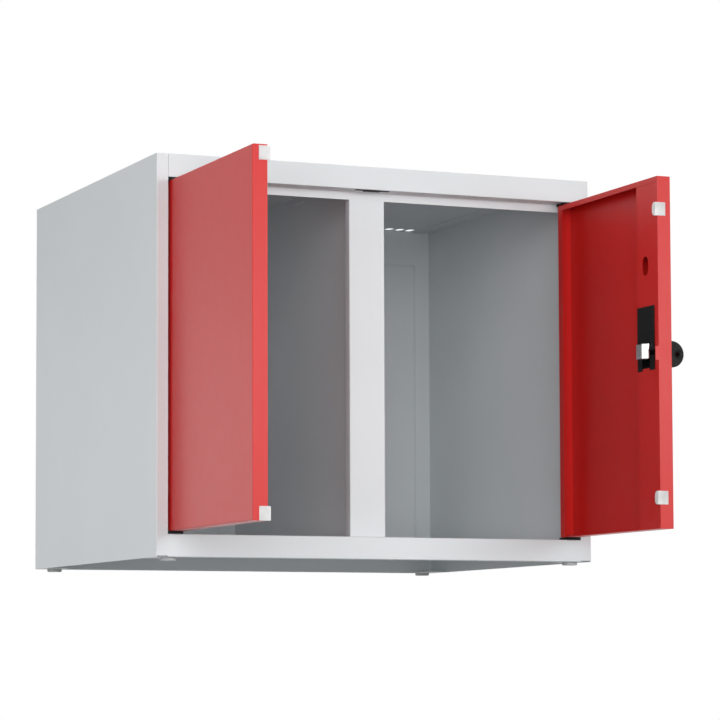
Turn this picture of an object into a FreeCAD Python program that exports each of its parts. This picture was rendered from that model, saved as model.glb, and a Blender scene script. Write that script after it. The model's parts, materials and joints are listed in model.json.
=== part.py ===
import FreeCAD, Part
import math
import os

V = FreeCAD.Vector

# Cabinet body
sheet = 1.0
body_width = 600.0
body_depth = 500.0
body_height = 500.0
seam = 0.4
bend = 1.2
slot_round_share = 0.98
near = 0.01

# Front frame
front_flange = 15.0
flange_cut = 1.6
fascia_height = 29.2
rail_height = 28.4
rail_return = 8.0
recess_depth = 26.5
header_drop = 10.0
post_width = 49.0
post_offset = -5.5
post_return = 11.0

# Rear, ceiling and partition
rear_flange = 15.0
ceiling_flange = 26.0
ceiling_slot_width = 5.0
ceiling_slot_length = 40.0
ceiling_slot_y = 18.0
partition_slot_length = 35.0
partition_slot_height = 2.0
partition_slot_y = 3.5
partition_slot_drop = 10.0
vent_count = 15
vent_pitch = 16.4
vent_width = 11.4
vent_length = 20.0
vent_margin = 7.0
field_side_margin = 22.0
field_top_margin = 48.0
field_foot_margin = 18.0
field_press = 1.5
field_slope = 4.0

# Feet and stacking holes
foot_diameter = 20.0
foot_height = 4.0
foot_side_inset = 22.0
foot_end_inset = 19.0
foot_chamfer = 1.0
stem_diameter = 6.0
stem_length = 2.5
foot_tab_margin = 0.5
stacking_hole = 7.0
stacking_end_inset = 45.0

# Doors
door_side_gap = 3.0
door_top_gap = 3.8
door_bottom_gap = 3.6
door_meeting_gap = 4.0
door_recess = 3.0
door_thickness = 18.5
left_door_width = 294.0
stile_width = 53.0
top_lip = 6.6
hinge_lip = 12.0
lip_gap = 0.2

# Hinges
pivot_inset = 6.0
hinge_block_width = 20.0
hinge_block_depth = 22.0
hinge_gap = 0.3
pin_diameter = 5.0
pin_reach = 1.6
pin_head_diameter = 8.0
pin_head = 2.0
bush_diameter = 9.6
bush_length = 1.4
running_gap = 0.1
seat_gap = 0.05

# Door buffers
buffer_height = 16.6
buffer_reach = 7.5
buffer_leg = 0.8
buffer_round = 5.8
buffer_overlap = 10.7
buffer_gap = 1.6
buffer_peg = 3.5
buffer_peg_inset = 4.0
left_buffer_top_inset = 1.6
left_buffer_bottom_inset = 0.0
right_buffer_top_inset = 32.7
right_buffer_bottom_inset = 29.7

# Magnetic catch under the fascia
catch_length = 46.0
catch_body_length = 22.0
catch_plate = 0.6
catch_plate_depth = 6.0
catch_body = 1.4
catch_body_depth = 10.0
catch_centre = -7.0
catch_setback = 0.5

# Lock case
case_edge = 9.6
case_width = 42.6
case_height = 79.5
case_rise = 58.5
case_wall = 1.2
case_floor = 1.0
case_end_wall = 0.8
case_proud = 1.0
case_gap = 0.2
tub_inset = 1.4
tub_rise = 3.0
notch_width = 20.0
notch_edge = 21.4
notch_rise = 11.5
guard_height = 17.0
guard_drop = 2.0
guard_gap = 0.6
oblong_width = 14.4
oblong_height = 23.4
oblong_rise = 109.4
oblong_edge = 32.0

# Lock drive and bolt
spindle_edge = 29.5
spindle_diameter = 8.0
spindle_end = 7.8
pinion_teeth = 20
pinion_start = 3.0
pinion_width = 4.5
pinion_hub = 18.0
tooth_root_share = 0.30
tooth_tip_share = 0.13
rack_root_share = 0.28
rack_tip_share = 0.12
rack_tail_share = 0.30
addendum_share = 0.9
dedendum_share = 1.25
quarter_teeth = pinion_teeth // 4
bolt_travel = 22.0
rack_bar = 5.0
rack_front = 11.0
arm_start = 8.3
arm_width = 6.0
arm_edge = 26.6
arm_height = 5.0
bolt_edge = 13.0
bolt_length = 19.8
bolt_height = 18.0
bolt_rise = 1.5
bolt_gap = 0.4
tongue_length = 12.9
tongue_thickness = 7.0
tongue_bevel = 5.8
play = 0.4

# Turning knob
rosette_diameter = 36.0
rosette = 3.0
knob_gap = 0.3
knob_radius = 16.4
knob_centre = 12.6
knob_thickness = 16.0
knob_soft = 1.2
collar_diameter = 20.0
collar_length = 5.0
spindle_seat = 10.0
padlock_hole = 6.5
padlock_offset = 8.2
padlock_dish = 12.4
padlock_dish_depth = 1.6

# Levels and faces that follow from the driving sizes
left = -body_width / 2
right = body_width / 2
front = -body_depth / 2
back = body_depth / 2
base = foot_height
top = base + body_height
ceiling = top - sheet
fascia_bottom = top - fascia_height
header_bottom = fascia_bottom - header_drop
floor_top = base + rail_height
floor_under = floor_top - sheet
opening_half = body_width / 2 - front_flange
wall_inner = body_width / 2 - sheet
stop_front = front + recess_depth
stop_rear = stop_front + sheet
back_front = back - 2 * sheet
post_left = post_offset - post_width / 2
post_right = post_offset + post_width / 2
partition_left = post_offset - sheet / 2
partition_right = post_offset + sheet / 2
door_bottom = floor_top + door_bottom_gap
door_top = fascia_bottom - door_top_gap
right_door_width = 2 * (opening_half - door_side_gap) - door_meeting_gap - left_door_width
door_face = opening_half - door_side_gap
pivot_x = door_face - pivot_inset
pivot_y = front + door_recess + pivot_inset
hinge_edge = pivot_y + pivot_inset
buffer_proud = recess_depth - door_recess - door_thickness - buffer_gap
lock_z = (door_bottom + door_top) / 2
pin_radius = pin_diameter / 2
stem_radius = stem_diameter / 2
foot_radius = foot_diameter / 2
foot_x = body_width / 2 - foot_side_inset
foot_y = body_depth / 2 - foot_end_inset
stacking_y = body_depth / 2 - stacking_end_inset
spindle_radius = spindle_diameter / 2
case_high = lock_z + case_rise
case_low = case_high - case_height
tub_high = case_high - tub_inset
tub_low = case_low + tub_rise
tub_edge = case_edge + tub_inset
tub_end = stile_width - sheet - case_gap
arm_low = lock_z - arm_height / 2
guard_proud = recess_depth - door_recess - door_thickness - guard_gap


def box(x0, x1, y0, y1, z0, z1):
    low = V(min(x0, x1), min(y0, y1), min(z0, z1))
    return Part.makeBox(abs(x1 - x0), abs(y1 - y0), abs(z1 - z0), low)


def rod(x, y, z0, z1, radius):
    return Part.makeCylinder(radius, z1 - z0, V(x, y, z0))


def join(*shapes):
    shape = shapes[0]
    for other in shapes[1:]:
        shape = shape.fuse(other)
    return shape.removeSplitter()


def lies_on(edge, axis, value):
    span = edge.BoundBox
    low = (span.XMin, span.YMin, span.ZMin)[axis]
    high = (span.XMax, span.YMax, span.ZMax)[axis]
    return abs(low - value) < near and abs(high - value) < near


def soften(shape, radius, *lines):
    picked = []
    for line in lines:
        for edge in shape.Edges:
            if all(lies_on(edge, axis, value) for axis, value in line):
                picked.append(edge)
    return shape.makeFillet(radius, picked)


def slot(x0, x1, y0, y1, z0, z1):
    radius = min(abs(x1 - x0), abs(y1 - y0)) / 2
    block = box(x0, x1, y0, y1, z0, z1)
    upright = [e for e in block.Edges if e.BoundBox.ZLength > near]
    return block.makeFillet(radius * slot_round_share, upright)


def save(name, shape):
    shape.Solids[0].exportStep(os.path.join("parts", name + ".step"))


# A leaf piece at rest: s runs from the hinge edge, v inward from the outer face
def leaf(side, s0, s1, v0, v1, z0, z1):
    x0 = side * (door_face - v0)
    x1 = side * (door_face - v1)
    return box(x0, x1, hinge_edge - s0, hinge_edge - s1, z0, z1)


# A rod through a leaf, running along v
def cross_rod(side, s, z, v0, v1, radius):
    start = V(side * (door_face - v0), hinge_edge - s, z)
    return Part.makeCylinder(radius, v1 - v0, start, V(-side, 0, 0))


os.makedirs("parts", exist_ok=True)

# Side panels with front flange, jamb, rear flange, ceiling flange and tabs for feet and bolts
for name, side in (("left", -1), ("right", 1)):
    outer = side * body_width / 2
    inner = side * wall_inner
    jamb = side * opening_half
    wall = box(outer, inner, front, back, base, ceiling)
    flange = box(outer, jamb, front, front + sheet, base + flange_cut, ceiling)
    jamb_leaf = box(jamb, jamb + side * sheet, front, stop_front, floor_top, ceiling)
    rear = box(outer, side * (body_width / 2 - rear_flange), back - sheet, back, base, ceiling)
    shelf_x = inner - side * ceiling_flange
    shelf = box(inner, shelf_x, stop_rear + seam, back_front - seam, ceiling - sheet, ceiling)
    slot_x = (inner + shelf_x) / 2
    hang = slot(
        slot_x - ceiling_slot_width / 2,
        slot_x + ceiling_slot_width / 2,
        ceiling_slot_y - ceiling_slot_length / 2,
        ceiling_slot_y + ceiling_slot_length / 2,
        ceiling - 2 * sheet,
        ceiling + sheet,
    )
    panel = join(wall, flange, jamb_leaf, rear, shelf).cut(hang)
    front_corner = ((0, outer), (1, front))
    rear_corner = ((0, outer), (1, back))
    panel = soften(panel, bend, front_corner, rear_corner)
    tab_half = foot_radius + foot_tab_margin
    tab_x = side * (foot_x - tab_half)
    for end in (-1, 1):
        tab_outer = end * (foot_y + tab_half)
        tab_inner = end * (stacking_y - tab_half)
        tab = box(inner, tab_x, tab_outer, tab_inner, base, base + sheet)
        stem_hole = rod(side * foot_x, end * foot_y, 0, floor_under, stem_radius + seat_gap)
        bolt_hole = rod(side * foot_x, end * stacking_y, 0, floor_under, stacking_hole / 2)
        panel = join(panel, tab.cut(stem_hole).cut(bolt_hole))
    save(name + "_side_panel", panel)

# Top panel with fascia, lip, header strip and vent slots
fascia_half = opening_half - seam
roof = box(left, right, front, back, ceiling, top)
fascia = box(-fascia_half, opening_half, front, front + sheet, fascia_bottom, top)
lip = box(-fascia_half, fascia_half, front, stop_rear, fascia_bottom, fascia_bottom + sheet)
header = box(-fascia_half, fascia_half, stop_front, stop_rear, header_bottom, fascia_bottom + sheet)
tail = box(-fascia_half, fascia_half, back - sheet, back, ceiling - rear_flange, top)
top_panel = join(roof, fascia, lip, header, tail)
vent_rear = back - vent_margin
for low_x, high_x in ((-wall_inner, partition_left), (partition_right, wall_inner)):
    first = (low_x + high_x) / 2 - vent_pitch * (vent_count - 1) / 2
    for number in range(vent_count):
        middle = first + number * vent_pitch
        vent = slot(
            middle - vent_width / 2,
            middle + vent_width / 2,
            vent_rear - vent_length,
            vent_rear,
            ceiling - sheet,
            top + sheet,
        )
        top_panel = top_panel.cut(vent)
for side in (-1, 1):
    lip_hole = rod(side * pivot_x, pivot_y, fascia_bottom - sheet, ceiling, pin_radius + seat_gap)
    top_panel = top_panel.cut(lip_hole)
top_panel = soften(top_panel, bend, ((1, front), (2, fascia_bottom)))
save("top_panel", top_panel)

# Bottom panel with floor, rail and return
floor = box(-wall_inner, wall_inner, front + sheet, back_front, floor_under, floor_top)
rail = box(-opening_half, opening_half, front, front + sheet, base, floor_top)
rail_foot = box(-opening_half, opening_half, front, front + rail_return, base, base + sheet)
bottom_panel = join(floor, rail, rail_foot)
for side in (-1, 1):
    floor_hole = rod(side * pivot_x, pivot_y, base + sheet, floor_top + sheet, pin_radius + seat_gap)
    bottom_panel = bottom_panel.cut(floor_hole)
rail_lines = (((1, front), (2, floor_top)), ((1, front), (2, base)))
save("bottom_panel", soften(bottom_panel, bend, *rail_lines))


# A pressed field as a low block with sloping sides
def field(x0, x1, z0, z1, y_base):
    rings = []
    for inset, y in ((0.0, y_base), (field_slope, y_base - field_press)):
        corners = [
            V(x0 + inset, y, z0 + inset),
            V(x1 - inset, y, z0 + inset),
            V(x1 - inset, y, z1 - inset),
            V(x0 + inset, y, z1 - inset),
        ]
        rings.append(Part.makePolygon(corners + corners[:1]))
    return Part.makeLoft(rings, True, True)


# Back panel with one pressed field per compartment
back_panel = box(-wall_inner, wall_inner, back_front, back - sheet, base, ceiling)
for low_x, high_x in ((-wall_inner, partition_left), (partition_right, wall_inner)):
    x0 = low_x + field_side_margin
    x1 = high_x - field_side_margin
    z0 = floor_top + field_foot_margin
    z1 = ceiling - field_top_margin
    back_panel = back_panel.fuse(field(x0, x1, z0, z1, back_front))
    back_panel = back_panel.cut(field(x0, x1, z0, z1, back - sheet))
save("back_panel", back_panel)

# Divider post with a slot for the bolt in its right return
tongue_start = recess_depth + sheet + bolt_gap - door_recess - door_thickness
bolt_low = lock_z + bolt_rise - bolt_height / 2
bolt_high = lock_z + bolt_rise + bolt_height / 2
post_face = box(post_left, post_right, stop_front, stop_rear, floor_top, header_bottom)
post_rear = stop_front + post_return
return_left = box(post_left, post_left + sheet, stop_front, post_rear, floor_top, header_bottom)
return_right = box(post_right - sheet, post_right, stop_front, post_rear, floor_top, header_bottom)
tongue_rear = stop_rear + bolt_gap + tongue_thickness + 2 * play
bolt_slot = box(
    post_right - 2 * sheet,
    post_right + sheet,
    stop_rear,
    tongue_rear,
    bolt_low - 2 * play,
    bolt_high + 2 * play,
)
post_lines = (((0, post_left), (1, stop_front)), ((0, post_right), (1, stop_front)))
post = soften(join(post_face, return_left, return_right), bend, *post_lines)
save("divider_post", post.cut(bolt_slot))

# Partition wall with its narrow slot
partition = box(partition_left, partition_right, stop_rear, back_front, floor_top, ceiling)
partition_slot_top = ceiling - partition_slot_drop + partition_slot_height
partition_slot = box(
    partition_left - sheet,
    partition_right + sheet,
    partition_slot_y - partition_slot_length / 2,
    partition_slot_y + partition_slot_length / 2,
    partition_slot_top - partition_slot_height,
    partition_slot_top,
)
save("partition_wall", partition.cut(partition_slot))

# Feet, each with a stem through its tab
for end, end_name in ((-1, "front"), (1, "rear")):
    for side, side_name in ((-1, "left"), (1, "right")):
        x = side * foot_x
        y = end * foot_y
        pad = rod(x, y, 0, base, foot_radius)
        pad = pad.makeChamfer(foot_chamfer, [e for e in pad.Edges if lies_on(e, 2, 0)])
        stem = rod(x, y, base - sheet, base + sheet + stem_length, stem_radius)
        save("foot_" + end_name + "_" + side_name, join(pad, stem))

# Hinge blocks and pins, above and below each door
for side, side_name in ((-1, "left"), (1, "right")):
    x = side * pivot_x
    block_x0 = side * opening_half
    block_x1 = side * (opening_half - hinge_block_width)
    bore = rod(x, pivot_y, base, top, pin_radius + seat_gap)
    upper = box(
        block_x0, block_x1, front, front + hinge_block_depth, door_top + hinge_gap, fascia_bottom
    )
    lower = box(
        block_x0, block_x1, front, front + hinge_block_depth, floor_top, door_bottom - hinge_gap
    )
    save("hinge_block_" + side_name + "_top", upper.cut(bore))
    save("hinge_block_" + side_name + "_bottom", lower.cut(bore))
    lip_top = fascia_bottom + sheet
    shank = rod(x, pivot_y, door_top - sheet - pin_reach, lip_top + pin_head, pin_radius)
    head = rod(x, pivot_y, lip_top, lip_top + pin_head, pin_head_diameter / 2)
    save("hinge_pin_" + side_name + "_top", join(shank, head))
    shank = rod(x, pivot_y, floor_under - pin_head, door_bottom + sheet + pin_reach, pin_radius)
    head = rod(x, pivot_y, floor_under - pin_head, floor_under, pin_head_diameter / 2)
    save("hinge_pin_" + side_name + "_bottom", join(shank, head))

# Magnetic catch under the fascia lip
catch_front = front + catch_setback
catch_rear = catch_front + catch_body_depth
plate_mid = (catch_front + catch_rear) / 2
ears = box(
    catch_centre - catch_length / 2,
    catch_centre + catch_length / 2,
    plate_mid - catch_plate_depth / 2,
    plate_mid + catch_plate_depth / 2,
    fascia_bottom - catch_plate,
    fascia_bottom,
)
magnet = box(
    catch_centre - catch_body_length / 2,
    catch_centre + catch_body_length / 2,
    catch_front + bend,
    catch_rear,
    fascia_bottom - catch_body,
    fascia_bottom,
)
save("door_catch", join(ears, magnet))

# Doors: pan, stile, hinge bushes and buffers
doors = (
    ("left", -1, left_door_width, left_buffer_top_inset, left_buffer_bottom_inset),
    ("right", 1, right_door_width, right_buffer_top_inset, right_buffer_bottom_inset),
)
for name, side, width, top_inset, bottom_inset in doors:
    slab = leaf(side, 0, width, 0, door_thickness, door_bottom, door_top)
    face_x = side * door_face
    slab = slab.makeFillet(bend, [e for e in slab.Edges if lies_on(e, 0, face_x)])
    low = door_bottom + sheet
    high = door_top - sheet
    tray = leaf(side, sheet, width - sheet, sheet, door_thickness + sheet, low, high)
    face_start = door_thickness - sheet
    lip_low = door_top - top_lip
    upper_lip = leaf(side, 0, width, face_start, door_thickness, lip_low, door_top)
    side_lip = leaf(side, 0, hinge_lip, face_start, door_thickness, door_bottom, door_top)
    pan = join(slab.cut(tray), upper_lip, side_lip)
    pin_hole = rod(
        side * pivot_x, pivot_y, door_bottom - sheet, door_top + sheet, pin_radius + running_gap
    )
    pan = pan.cut(pin_hole)

    stile_edge = width - stile_width
    stile_end = stile_edge + sheet
    stile_top = lip_low - lip_gap
    stile_face = leaf(side, stile_edge, width - sheet, face_start, door_thickness, low, stile_top)
    stile_web = leaf(side, stile_edge, stile_end, sheet, door_thickness, low, stile_top)
    stile = join(stile_face, stile_web)

    for end_name, start in (("top", high - bush_length), ("bottom", low)):
        bush = rod(side * pivot_x, pivot_y, start, start + bush_length, bush_diameter / 2)
        save(name + "_hinge_bush_" + end_name, bush.cut(pin_hole))

    for end_name, middle in (
        ("top", door_top - top_inset - buffer_height / 2),
        ("bottom", door_bottom + bottom_inset + buffer_height / 2),
    ):
        half = buffer_height / 2
        pad_end = door_thickness + buffer_proud
        inner_s = width - buffer_reach
        pad = leaf(
            side, inner_s, width + buffer_leg, door_thickness, pad_end, middle - half, middle + half
        )
        ends = [e for e in pad.Edges if lies_on(e, 1, hinge_edge - inner_s)]
        pad = pad.makeFillet(buffer_round, [e for e in ends if e.BoundBox.XLength > near])
        leg = leaf(
            side,
            width,
            width + buffer_leg,
            door_thickness - buffer_overlap,
            pad_end,
            middle - half,
            middle + half,
        )
        peg_s = width - buffer_peg_inset
        peg_radius = buffer_peg / 2
        peg = cross_rod(side, peg_s, middle, door_thickness - 3 * sheet, pad_end, peg_radius)
        save(name + "_buffer_" + end_name, join(pad, leg, peg))
        peg_hole = cross_rod(
            side,
            peg_s,
            middle,
            door_thickness - 2 * sheet,
            door_thickness + sheet,
            peg_radius + seat_gap,
        )
        stile = stile.cut(peg_hole)

    if name == "right":
        spindle_s = width - spindle_edge
        pan = pan.cut(cross_rod(side, spindle_s, lock_z, -sheet, 2 * sheet, spindle_radius + play))
        tub_cut = leaf(
            side,
            width - tub_edge + case_gap,
            stile_end,
            0,
            door_thickness + sheet,
            tub_low - case_gap,
            tub_high + case_gap,
        )
        stem_cut = leaf(
            side,
            width - case_edge - case_width / 2,
            width - arm_edge + bolt_travel + play,
            face_start - sheet,
            door_thickness + sheet,
            arm_low - play,
            arm_low + arm_height + play,
        )
        guard_low = lock_z - guard_drop - guard_height / 2
        guard = leaf(
            side,
            width - sheet,
            width,
            face_start,
            door_thickness + guard_proud,
            guard_low,
            guard_low + guard_height,
        )
        pan = join(pan, guard)
        oblong_s = width - oblong_edge
        oblong_z = lock_z + oblong_rise
        flat = (oblong_height - oblong_width) / 2
        oblong_radius = oblong_width / 2
        v0 = face_start - sheet
        v1 = door_thickness + sheet
        oblong = join(
            leaf(
                side,
                oblong_s - oblong_radius,
                oblong_s + oblong_radius,
                v0,
                v1,
                oblong_z - flat,
                oblong_z + flat,
            ),
            cross_rod(side, oblong_s, oblong_z - flat, v0, v1, oblong_radius),
            cross_rod(side, oblong_s, oblong_z + flat, v0, v1, oblong_radius),
        )
        stile = stile.cut(tub_cut).cut(stem_cut).cut(oblong)
    save(name + "_door_panel", pan)
    save(name + "_door_stile", stile)

# The lock sits in the right door; d runs from that door's free edge
lock_side = 1
edge_y = hinge_edge - right_door_width
face_end = door_thickness + case_proud


def lock_box(d0, d1, v0, v1, z0, z1):
    s0 = right_door_width - d0
    s1 = right_door_width - d1
    return leaf(lock_side, s0, s1, v0, v1, z0, z1)


def lock_rod(d, z, v0, v1, radius):
    return cross_rod(lock_side, right_door_width - d, z, v0, v1, radius)


# Rack and pinion sizes from the bolt travel
pitch_radius = bolt_travel / (math.pi / 2)
module = 2 * pitch_radius / pinion_teeth
addendum = addendum_share * module
dedendum = dedendum_share * module
rack_pitch = math.pi * module
rack_root = lock_z + pitch_radius + dedendum
rack_top = rack_root + rack_bar
rack_first = spindle_edge - rack_pitch / 2
rack_start = rack_first - rack_pitch / 2
rack_end = rack_first + (quarter_teeth + rack_tail_share) * rack_pitch

# Lock case, open at the notch and toward the free edge where the bolt passes
case_end = case_edge + case_width
tub = lock_box(tub_edge, tub_end, sheet, door_thickness, tub_low, tub_high)
cavity = lock_box(
    tub_edge + case_wall,
    tub_end - case_end_wall,
    sheet + case_floor,
    door_thickness,
    tub_low + case_wall,
    tub_high - case_wall,
)
cover = lock_box(case_edge, case_end, door_thickness, face_end, case_low, case_high)
notch = lock_box(
    notch_edge,
    notch_edge + notch_width,
    door_thickness - sheet,
    face_end + sheet,
    case_low - sheet,
    lock_z + notch_rise,
)
stem_track = lock_box(
    0,
    notch_edge + play,
    arm_start - play,
    face_end + sheet,
    arm_low - play,
    arm_low + arm_height + play,
)
rack_track = lock_box(
    0,
    tub_edge + 2 * case_wall,
    pinion_start - play,
    rack_front + play,
    arm_low - play,
    rack_top + play,
)
spindle_bore = lock_rod(spindle_edge, lock_z, 0, pinion_start, spindle_radius + play)
case = join(tub.cut(cavity).cut(spindle_bore), cover)
save("lock_case", case.cut(notch).cut(stem_track).cut(rack_track))

# Lock bolt with rack, arm, stem and head
bar = lock_box(rack_start, rack_end, pinion_start, rack_front, rack_root, rack_top)
arm_end = arm_edge + arm_width
arm = lock_box(arm_edge, arm_end, arm_start, rack_front, arm_low, rack_top)
head_start = face_end + bolt_gap
tongue_v0 = door_thickness + tongue_start
head_end = tongue_v0 + tongue_thickness
stem = lock_box(arm_edge, arm_end, arm_start, head_end, arm_low, arm_low + arm_height)
bolt_end = bolt_edge + bolt_length
head = lock_box(bolt_edge + tongue_length, bolt_end, head_start, head_end, bolt_low, bolt_high)
tongue = lock_box(bolt_edge, bolt_end, tongue_v0, head_end, bolt_low, bolt_high)
bolt = join(bar, arm, stem, head, tongue)
tip_y = edge_y + bolt_edge
tip_x = lock_side * (door_face - head_end)
tip = [e for e in bolt.Edges if lies_on(e, 0, tip_x) and lies_on(e, 1, tip_y)]
bolt = bolt.makeChamfer(tongue_bevel, tip)
for number in range(quarter_teeth + 1):
    d = rack_first + number * rack_pitch
    y = edge_y + d
    root_half = rack_root_share * rack_pitch
    tip_half = rack_tip_share * rack_pitch
    rack_tip = lock_z + pitch_radius - addendum
    x = lock_side * (door_face - pinion_start)
    corners = [
        V(x, y - root_half, rack_root + sheet),
        V(x, y - root_half, rack_root),
        V(x, y - tip_half, rack_tip),
        V(x, y + tip_half, rack_tip),
        V(x, y + root_half, rack_root),
        V(x, y + root_half, rack_root + sheet),
    ]
    tooth = Part.Face(Part.makePolygon(corners + corners[:1]))
    bolt = bolt.fuse(tooth.extrude(V(-lock_side * pinion_width, 0, 0)))
save("lock_bolt", bolt.removeSplitter())

# Toothed sector on the spindle, one tooth pointing up at the rack
spindle_y = edge_y + spindle_edge
pinion_x = lock_side * (door_face - pinion_start)
pinion_end = pinion_start + pinion_width
tooth_angle = 2 * math.pi / pinion_teeth
outline = [V(pinion_x, spindle_y, lock_z)]
for number in range(-1, quarter_teeth + 2):
    middle = number * tooth_angle
    for share, radius in (
        (-tooth_root_share, pitch_radius - dedendum),
        (-tooth_tip_share, pitch_radius + addendum),
        (tooth_tip_share, pitch_radius + addendum),
        (tooth_root_share, pitch_radius - dedendum),
    ):
        angle = middle + share * tooth_angle
        y = spindle_y + radius * math.cos(angle)
        z = lock_z + radius * math.sin(angle)
        outline.append(V(pinion_x, y, z))
wheel = Part.Face(Part.makePolygon(outline + outline[:1]))
wheel = wheel.extrude(V(-lock_side * pinion_width, 0, 0))
hub = lock_rod(spindle_edge, lock_z, pinion_start, pinion_end, pinion_hub / 2)
wheel = join(wheel, hub)
wheel_bore = lock_rod(spindle_edge, lock_z, 0, door_thickness, spindle_radius + seat_gap)
save("lock_pinion", wheel.cut(wheel_bore))

# Spindle, rosette and turning knob on the outer face
knob_base = -(rosette + knob_gap)
seat_end = knob_base - spindle_seat
spindle = lock_rod(spindle_edge, lock_z, seat_end, spindle_end, spindle_radius)
save("lock_spindle", spindle)
ring = lock_rod(spindle_edge, lock_z, -rosette, 0, rosette_diameter / 2)
ring_bore = lock_rod(spindle_edge, lock_z, -2 * rosette, sheet, spindle_radius + running_gap)
save("lock_rosette", ring.cut(ring_bore))

grip_x = lock_side * (door_face + knob_centre)
grip_start = V(grip_x, spindle_y - knob_thickness / 2, lock_z)
grip = Part.makeCylinder(knob_radius, knob_thickness, grip_start, V(0, 1, 0))
grip = grip.makeFillet(knob_soft, [e for e in grip.Edges if len(e.Vertexes) == 1])
below = lock_rod(spindle_edge, lock_z, knob_base, door_thickness, 2 * knob_radius)
grip = grip.cut(below)
collar = lock_rod(
    spindle_edge, lock_z, knob_base - collar_length, knob_base, collar_diameter / 2
)
seat = lock_rod(spindle_edge, lock_z, seat_end, 0, spindle_radius + seat_gap)
hole_start = V(grip_x + lock_side * padlock_offset, spindle_y - knob_thickness, lock_z)
hole = Part.makeCylinder(padlock_hole / 2, 2 * knob_thickness, hole_start, V(0, 1, 0))
dish = Part.makeCone(
    padlock_dish / 2,
    padlock_hole / 2,
    padlock_dish_depth,
    V(grip_x + lock_side * padlock_offset, spindle_y - knob_thickness / 2, lock_z),
    V(0, 1, 0),
)
save("lock_knob", join(grip, collar).cut(seat).cut(hole).cut(dish))
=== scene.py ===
import json
import math

import bpy
from mathutils import Matrix, Vector


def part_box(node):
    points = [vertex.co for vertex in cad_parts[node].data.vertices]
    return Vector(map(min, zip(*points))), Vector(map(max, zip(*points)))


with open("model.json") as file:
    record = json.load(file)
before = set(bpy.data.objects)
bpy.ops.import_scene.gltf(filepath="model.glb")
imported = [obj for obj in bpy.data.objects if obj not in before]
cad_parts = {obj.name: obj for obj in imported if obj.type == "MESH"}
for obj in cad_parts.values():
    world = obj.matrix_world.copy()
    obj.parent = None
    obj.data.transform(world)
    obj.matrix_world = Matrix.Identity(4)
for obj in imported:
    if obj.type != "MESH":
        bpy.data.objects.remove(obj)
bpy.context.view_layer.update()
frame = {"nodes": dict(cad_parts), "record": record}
nodes_by_name = frame["nodes"]

# Camera, fitted to the body's corners with a small shift
CAMERA_PLACE = Vector((-1.51987, -3.69656, -0.13016))
CAMERA_YAW = 0.3965
CAMERA_PITCH = 0.07357
CAMERA_ROLL = -0.0028
CAMERA_LENS = 149.017
CAMERA_SHIFT = (0.05, 0.12)

# Paint and plastic colours, linear
CABINET_GREY = (0.662, 0.697, 0.714)
DOOR_RED = (0.55, 0.012, 0.0095)
PLASTIC_BLACK = (0.006, 0.006, 0.0065)
BUFFER_WHITE = (0.70, 0.695, 0.69)
FOOT_GREY = (0.50, 0.51, 0.51)
NYLON = (0.02, 0.02, 0.022)
ZINC = (0.62, 0.63, 0.64)
CHROME = (0.80, 0.81, 0.82)

# Painted shade: the bolt is drawn bright outside the lock case and black, not metal, inside it
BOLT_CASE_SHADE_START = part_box("lock_case")[0][0]
BOLT_CASE_SHADE_FADE = 0.0004

# Studio: a wide floor, a dome and soft lamps aimed at one point
FLOOR_HALF = 30.0
FLOOR_PALE = (0.92, 0.92, 0.92)
DOME_BELOW = 0.2
DOME_ABOVE_FRONT = 0.26
DOME_ABOVE_REAR = 2.2
LAMP_TARGET = Vector((0.0, -0.2, 0.25))
# Name, place, width and height, watts, and whether it shows in reflections
LAMPS = [
    ("left_front_lamp", (-1.6, -3.4, 0.35), (2.4, 1.6), 68.0, True),
    ("right_front_lamp", (1.05, -3.0, 0.52), (2.2, 0.6), 32.8, True),
    ("high_left_lamp", (-1.2, -2.9, 1.5), (1.4, 0.8), 12.8, True),
    ("left_side_lamp", (-3.4, -1.2, 0.3), (1.6, 1.6), 13.8, True),
    ("left_rear_lamp", (-1.5, 2.6, 0.29), (2.4, 0.78), 3.3, True),
    ("rear_lamp", (0.7, 3.6, 0.7), (2.0, 1.2), 26.0, False),
    ("right_lamp", (3.4, 0.6, 0.6), (1.8, 1.2), 40.0, False),
]


def shade(color, factor):
    return tuple(min(1.0, channel * factor) for channel in color)


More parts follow.
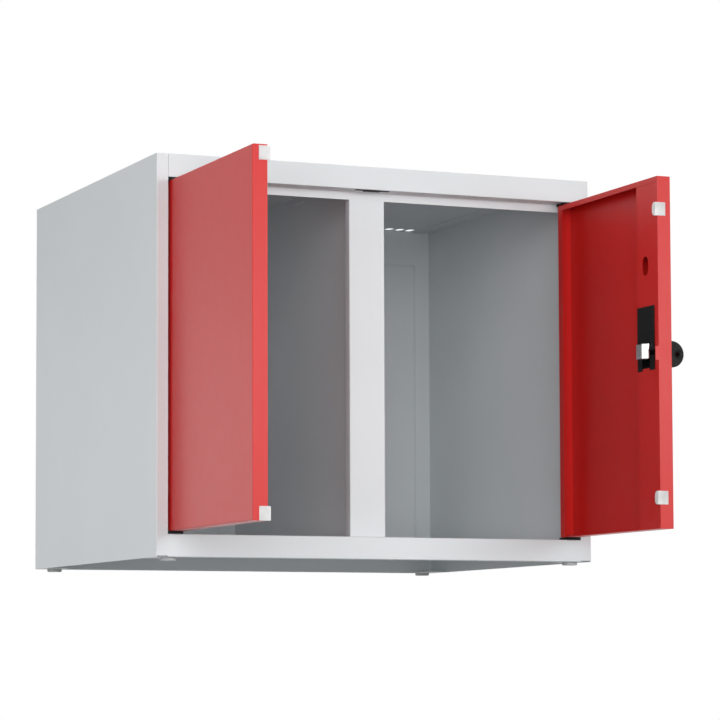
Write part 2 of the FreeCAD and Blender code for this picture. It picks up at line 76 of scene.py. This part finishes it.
class Shader:
    """A node material with object coordinates and one principled shader."""

    def __init__(self, name):
        self.material = bpy.data.materials.new(name)
        self.material.use_nodes = True
        self.tree = self.material.node_tree
        self.tree.nodes.clear()
        self.output = self.add("ShaderNodeOutputMaterial")
        self.surface = self.add("ShaderNodeBsdfPrincipled")
        self.link(self.surface.outputs["BSDF"], self.output.inputs["Surface"])
        self.coordinates = self.add("ShaderNodeTexCoord").outputs["Object"]

    def add(self, kind):
        return self.tree.nodes.new(kind)

    def link(self, source, target):
        self.tree.links.new(source, target)

    def noise(self, scale, detail=3.0, stretch=None):
        node = self.add("ShaderNodeTexNoise")
        node.inputs["Scale"].default_value = scale
        node.inputs["Detail"].default_value = detail
        source = self.coordinates
        if stretch:
            mapping = self.add("ShaderNodeMapping")
            mapping.inputs["Scale"].default_value = stretch
            self.link(self.coordinates, mapping.inputs["Vector"])
            source = mapping.outputs["Vector"]
        self.link(source, node.inputs["Vector"])
        return node.outputs["Fac"]

    def remap(self, value, low, high, start=0.3, end=0.7):
        node = self.add("ShaderNodeMapRange")
        node.inputs["From Min"].default_value = start
        node.inputs["From Max"].default_value = end
        node.inputs["To Min"].default_value = low
        node.inputs["To Max"].default_value = high
        self.link(value, node.inputs["Value"])
        return node.outputs["Result"]

    def mix(self, factor, first, second):
        node = self.add("ShaderNodeMix")
        node.data_type = "RGBA"
        self.link(factor, node.inputs["Factor"])
        colors = [s for s in node.inputs if s.type == "RGBA"]
        for value, socket in zip((first, second), colors):
            if isinstance(value, tuple):
                socket.default_value = (*value, 1.0)
            else:
                self.link(value, socket)
        return [s for s in node.outputs if s.type == "RGBA"][0]

    def edges(self, radius, low, high):
        """A mask that is bright where a face turns over an edge."""
        bevel = self.add("ShaderNodeBevel")
        bevel.samples = 4
        bevel.inputs["Radius"].default_value = radius
        plain = self.add("ShaderNodeNewGeometry")
        dot = self.add("ShaderNodeVectorMath")
        dot.operation = "DOT_PRODUCT"
        self.link(bevel.outputs["Normal"], dot.inputs[0])
        self.link(plain.outputs["Normal"], dot.inputs[1])
        return self.remap(dot.outputs["Value"], high, low, 0.80, 0.995)

    def bump(self, layers):
        """Stacks bump layers, each a height socket, a strength and a depth in metres."""
        normal = None
        for height, strength, depth in layers:
            node = self.add("ShaderNodeBump")
            node.inputs["Strength"].default_value = strength
            node.inputs["Distance"].default_value = depth
            self.link(height, node.inputs["Height"])
            if normal:
                self.link(normal, node.inputs["Normal"])
            normal = node.outputs["Normal"]
        self.link(normal, self.surface.inputs["Normal"])

    def color(self, socket):
        self.link(socket, self.surface.inputs["Base Color"])

    def roughness(self, socket):
        self.link(socket, self.surface.inputs["Roughness"])

    def set(self, name, value):
        self.surface.inputs[name].default_value = value


def powder_coat(name, base, low_rough, high_rough, ior):
    """Satin powder coat: fine orange peel, faint clouding and painted highlights along the edges."""
    s = Shader(name)
    cloud = s.remap(s.noise(9.0, 4.0), 0.0, 1.0)
    body = s.mix(cloud, shade(base, 0.985), shade(base, 1.012))
    fleck = s.remap(s.noise(1400.0, 2.0), 0.0, 0.10, 0.45, 0.75)
    body = s.mix(fleck, body, shade(base, 0.80))
    # Painted highlight: the colour turns lighter along edges
    edge_highlight = s.edges(0.0012, 0.0, 0.16)
    s.color(s.mix(edge_highlight, body, shade(base, 1.25)))
    s.roughness(s.remap(s.noise(60.0, 5.0), low_rough, high_rough))
    s.set("IOR", ior)
    s.bump([(s.noise(260.0, 2.0), 0.015, 0.0002), (s.noise(1100.0, 2.0), 0.05, 0.00006)])
    return s.material


def moulded_plastic(name, base, low_rough, high_rough, ior, glow=0.0):
    """Injection-moulded plastic with a fine spark-eroded grain."""
    s = Shader(name)
    cloud = s.remap(s.noise(70.0, 4.0), 0.0, 1.0)
    body = s.mix(cloud, shade(base, 0.85), shade(base, 1.12))
    # Painted highlight: the colour turns lighter along edges
    edge_highlight = s.edges(0.0008, 0.0, 0.35)
    s.color(s.mix(edge_highlight, body, shade(base, 1.8)))
    s.roughness(s.remap(s.noise(220.0, 4.0), low_rough, high_rough))
    s.set("IOR", ior)
    s.set("Subsurface Weight", glow)
    s.set("Subsurface Scale", 0.003)
    s.set("Subsurface Radius", (1.0, 1.0, 1.0))
    s.bump([(s.noise(1800.0, 3.0), 0.25, 0.00008)])
    return s.material


def plated_metal(name, base, low_rough, high_rough, spangle, case_shade_start=None):
    """Plated steel: drawn lines, faint patches and painted highlights along the edges; past the given
    X it is painted black and non-metallic as shade inside the lock case.
    """
    s = Shader(name)
    cells = s.add("ShaderNodeTexVoronoi")
    cells.inputs["Scale"].default_value = spangle
    s.link(s.coordinates, cells.inputs["Vector"])
    patch = s.remap(cells.outputs["Distance"], 0.0, 1.0, 0.0, 0.8)
    body = s.mix(patch, shade(base, 0.88), base)
    # Painted highlight: the colour turns lighter along edges
    edge_highlight = s.edges(0.0006, 0.0, 0.5)
    body = s.mix(edge_highlight, body, shade(base, 1.15))
    if case_shade_start is None:
        s.set("Metallic", 1.0)
    else:
        # Painted shade: past the lock case's front the bolt turns black and non-metallic
        split = s.add("ShaderNodeSeparateXYZ")
        s.link(s.coordinates, split.inputs["Vector"])
        place = split.outputs["X"]
        case_shade_end = case_shade_start + BOLT_CASE_SHADE_FADE
        body = s.mix(s.remap(place, 0.0, 1.0, case_shade_start, case_shade_end), body, PLASTIC_BLACK)
        s.link(s.remap(place, 1.0, 0.0, case_shade_start, case_shade_end), s.surface.inputs["Metallic"])
    s.color(body)
    s.roughness(s.remap(s.noise(420.0, 4.0, (1.0, 1.0, 12.0)), low_rough, high_rough))
    s.bump([(s.noise(900.0, 3.0, (1.0, 1.0, 14.0)), 0.08, 0.00005)])
    return s.material


MATERIALS = {
    "cabinet_paint": powder_coat("cabinet_paint", CABINET_GREY, 0.38, 0.41, 1.42),
    "door_paint": powder_coat("door_paint", DOOR_RED, 0.34, 0.37, 1.38),
    "black_plastic": moulded_plastic("black_plastic", PLASTIC_BLACK, 0.52, 0.64, 1.26),
    "buffer_plastic": moulded_plastic("buffer_plastic", BUFFER_WHITE, 0.42, 0.52, 1.36, 0.7),
    "foot_plastic": moulded_plastic("foot_plastic", FOOT_GREY, 0.36, 0.48, 1.42),
    "bush_nylon": moulded_plastic("bush_nylon", NYLON, 0.40, 0.52, 1.40),
    "zinc_steel": plated_metal("zinc_steel", ZINC, 0.28, 0.42, 260.0),
    "bolt_chrome": plated_metal("bolt_chrome", CHROME, 0.22, 0.34, 120.0, BOLT_CASE_SHADE_START),
}
for entry in frame["record"]["subparts"]:
    mesh = nodes_by_name[entry["node"]].data
    mesh.materials.clear()
    mesh.materials.append(MATERIALS[entry["material_slot"]])


def place_camera():
    forward = Vector(
        (
            math.sin(CAMERA_YAW) * math.cos(CAMERA_PITCH),
            math.cos(CAMERA_YAW) * math.cos(CAMERA_PITCH),
            math.sin(CAMERA_PITCH),
        )
    )
    level = Vector((math.cos(CAMERA_YAW), -math.sin(CAMERA_YAW), 0.0))
    upright = level.cross(forward)
    right = math.cos(CAMERA_ROLL) * level + math.sin(CAMERA_ROLL) * upright
    up = math.cos(CAMERA_ROLL) * upright - math.sin(CAMERA_ROLL) * level
    camera = bpy.data.objects.new("camera", bpy.data.cameras.new("camera"))
    turn = Matrix((right, up, -forward)).transposed()
    camera.matrix_world = Matrix.Translation(CAMERA_PLACE) @ turn.to_4x4()
    camera.data.lens = CAMERA_LENS
    camera.data.sensor_width = 36.0
    camera.data.shift_x, camera.data.shift_y = CAMERA_SHIFT
    camera.data.clip_end = 50.0
    bpy.context.collection.objects.link(camera)
    bpy.context.scene.camera = camera


def studio_world():
    """White to the camera; a soft dome, dark at the horizon, fills in from above and below."""
    world = bpy.data.worlds.new("studio")
    bpy.context.scene.world = world
    world.use_nodes = True
    tree = world.node_tree
    tree.nodes.clear()
    output = tree.nodes.new("ShaderNodeOutputWorld")
    path = tree.nodes.new("ShaderNodeLightPath")
    direction = tree.nodes.new("ShaderNodeTexCoord")
    split = tree.nodes.new("ShaderNodeSeparateXYZ")
    tree.links.new(direction.outputs["Generated"], split.inputs["Vector"])

    def ramp(axis, start, end, low, high):
        node = tree.nodes.new("ShaderNodeMapRange")
        node.inputs["From Min"].default_value = start
        node.inputs["From Max"].default_value = end
        node.inputs["To Min"].default_value = low
        node.inputs["To Max"].default_value = high
        tree.links.new(split.outputs[axis], node.inputs["Value"])
        return node.outputs["Result"]

    def combine(operation, first, second):
        node = tree.nodes.new("ShaderNodeMath")
        node.operation = operation
        tree.links.new(first, node.inputs[0])
        tree.links.new(second, node.inputs[1])
        return node.outputs["Value"]

    rear_share = ramp("Y", -0.1, 0.3, DOME_ABOVE_FRONT, DOME_ABOVE_REAR)
    overhead = combine("MULTIPLY", ramp("Z", 0.2, 0.8, 0.0, 1.0), rear_share)
    sky = combine("ADD", ramp("Z", -0.35, 0.15, DOME_BELOW, 0.0), overhead)
    dome = tree.nodes.new("ShaderNodeBackground")
    tree.links.new(sky, dome.inputs["Strength"])
    white = tree.nodes.new("ShaderNodeBackground")
    mix = tree.nodes.new("ShaderNodeMixShader")
    for background in (dome, white):
        background.inputs["Color"].default_value = (1.0, 1.0, 1.0, 1.0)
    white.inputs["Strength"].default_value = 1.0
    shiny = combine("MAXIMUM", path.outputs["Is Glossy Ray"], path.outputs["Is Transmission Ray"])
    seen = combine("MAXIMUM", path.outputs["Is Camera Ray"], shiny)
    tree.links.new(seen, mix.inputs["Fac"])
    tree.links.new(dome.outputs["Background"], mix.inputs[1])
    tree.links.new(white.outputs["Background"], mix.inputs[2])
    tree.links.new(mix.outputs["Shader"], output.inputs["Surface"])


def studio_lamp(floor, name, place, size, watts, mirrored):
    """A soft lamp that lights everything but the floor, which only the even dome lights."""
    lamp = bpy.data.lights.new(name, "AREA")
    lamp.shape = "RECTANGLE"
    lamp.size, lamp.size_y = size
    lamp.energy = watts
    targets = bpy.data.collections.new(name)
    targets.objects.link(floor)
    targets.collection_objects[0].light_linking.link_state = "EXCLUDE"
    holder = bpy.data.objects.new(name, lamp)
    holder.location = place
    holder.visible_camera = False
    holder.visible_glossy = mirrored
    holder.light_linking.receiver_collection = targets
    aim = LAMP_TARGET - Vector(place)
    holder.rotation_euler = aim.to_track_quat("-Z", "Y").to_euler()
    bpy.context.collection.objects.link(holder)


def studio_floor():
    """A pale floor that shows from above only, since the photograph looks up from below it."""
    mesh = bpy.data.meshes.new("floor")
    signs = ((-1, -1), (1, -1), (1, 1), (-1, 1))
    corners = [(x * FLOOR_HALF, y * FLOOR_HALF, 0.0) for x, y in signs]
    mesh.from_pydata(corners, [], [(0, 1, 2, 3)])
    floor = bpy.data.objects.new("floor", mesh)
    bpy.context.collection.objects.link(floor)
    material = bpy.data.materials.new("floor")
    material.use_nodes = True
    tree = material.node_tree
    tree.nodes.clear()
    output = tree.nodes.new("ShaderNodeOutputMaterial")
    pale = tree.nodes.new("ShaderNodeBsdfDiffuse")
    pale.inputs["Color"].default_value = (*FLOOR_PALE, 1.0)
    clear = tree.nodes.new("ShaderNodeBsdfTransparent")
    facing = tree.nodes.new("ShaderNodeNewGeometry")
    mix = tree.nodes.new("ShaderNodeMixShader")
    tree.links.new(facing.outputs["Backfacing"], mix.inputs["Fac"])
    tree.links.new(pale.outputs["BSDF"], mix.inputs[1])
    tree.links.new(clear.outputs["BSDF"], mix.inputs[2])
    tree.links.new(mix.outputs["Shader"], output.inputs["Surface"])
    mesh.materials.append(material)
    floor.visible_diffuse = False
    floor.visible_glossy = False
    floor.visible_transmission = False
    floor.visible_shadow = False
    return floor


place_camera()
studio_world()
floor = studio_floor()
for settings in LAMPS:
    studio_lamp(floor, *settings)
bpy.context.scene.view_settings.view_transform = "Standard"
